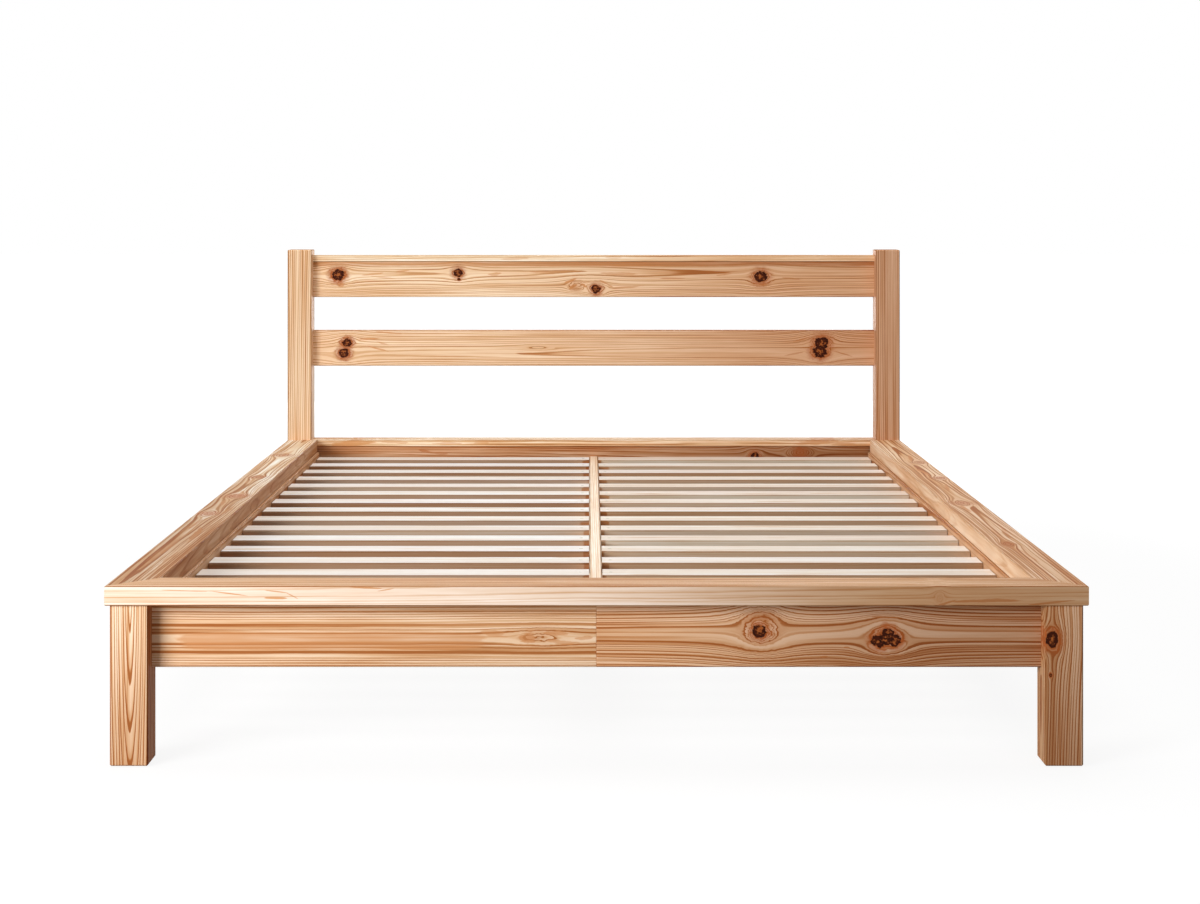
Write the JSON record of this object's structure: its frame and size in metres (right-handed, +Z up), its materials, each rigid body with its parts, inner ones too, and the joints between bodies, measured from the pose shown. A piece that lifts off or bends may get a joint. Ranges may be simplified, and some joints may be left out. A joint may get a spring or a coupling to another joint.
{
  "type": "low slatted bed frame",
  "caption": "Low knotty pine bed frame with flat cap rails, square legs, a two-rail headboard and slats on a centre beam.",
  "frame": {"origin": "on the floor under the middle of the bed", "axes": "+X to the right seen from the foot end, +Y from the foot to the headboard, +Z up"},
  "size_m": [1.54, 2.066, 0.763],
  "materials": {
    "pine_frame": "satin lacquered knotty pine",
    "pine_headboard": "satin lacquered knotty pine",
    "pine_slats": "planed pale pine",
    "pine_supports": "planed pine",
    "plywood_tongues": "birch plywood",
    "zinc_steel": "zinc plated",
    "screw_steel": "yellow zinc plated",
    "felt_glides": "felt faced"
  },
  "bodies": {
    "root": {"apron_splice_block": "pine_supports", "beam_hangers": "zinc_steel", "bed_hook_plates": "zinc_steel", "bed_socket_plates": "zinc_steel", "bracket_screws": "screw_steel", "centre_beam": "pine_supports", "centre_leg": "pine_supports", "foot_glides": "felt_glides", "front_apron_left": "pine_frame", "front_apron_right": "pine_frame", "front_cap": "pine_frame", "front_leg_left": "pine_frame", "front_leg_right": "pine_frame", "head_rail": "pine_frame", "head_strip": "pine_frame", "headboard_middle_rail": "pine_headboard", "headboard_post_left": "pine_headboard", "headboard_post_right": "pine_headboard", "headboard_top_rail": "pine_headboard", "headboard_top_strip": "pine_headboard", "mitre_tongues": "plywood_tongues", "side_board_left": "pine_frame", "side_board_right": "pine_frame", "side_cap_left": "pine_frame", "side_cap_right": "pine_frame", "slat_left_01": "pine_slats", "slat_left_02": "pine_slats", "slat_left_03": "pine_slats", "slat_left_04": "pine_slats", "slat_left_05": "pine_slats", "slat_left_06": "pine_slats", "slat_left_07": "pine_slats", "slat_left_08": "pine_slats", "slat_left_09": "pine_slats", "slat_left_10": "pine_slats", "slat_left_11": "pine_slats", "slat_left_12": "pine_slats", "slat_left_13": "pine_slats", "slat_left_14": "pine_slats", "slat_left_15": "pine_slats", "slat_left_16": "pine_slats", "slat_rail_left": "pine_supports", "slat_rail_right": "pine_supports", "slat_right_01": "pine_slats", "slat_right_02": "pine_slats", "slat_right_03": "pine_slats", "slat_right_04": "pine_slats", "slat_right_05": "pine_slats", "slat_right_06": "pine_slats", "slat_right_07": "pine_slats", "slat_right_08": "pine_slats", "slat_right_09": "pine_slats", "slat_right_10": "pine_slats", "slat_right_11": "pine_slats", "slat_right_12": "pine_slats", "slat_right_13": "pine_slats", "slat_right_14": "pine_slats", "slat_right_15": "pine_slats", "slat_right_16": "pine_slats", "wood_screws": "screw_steel"}
  },
  "joints": []
}
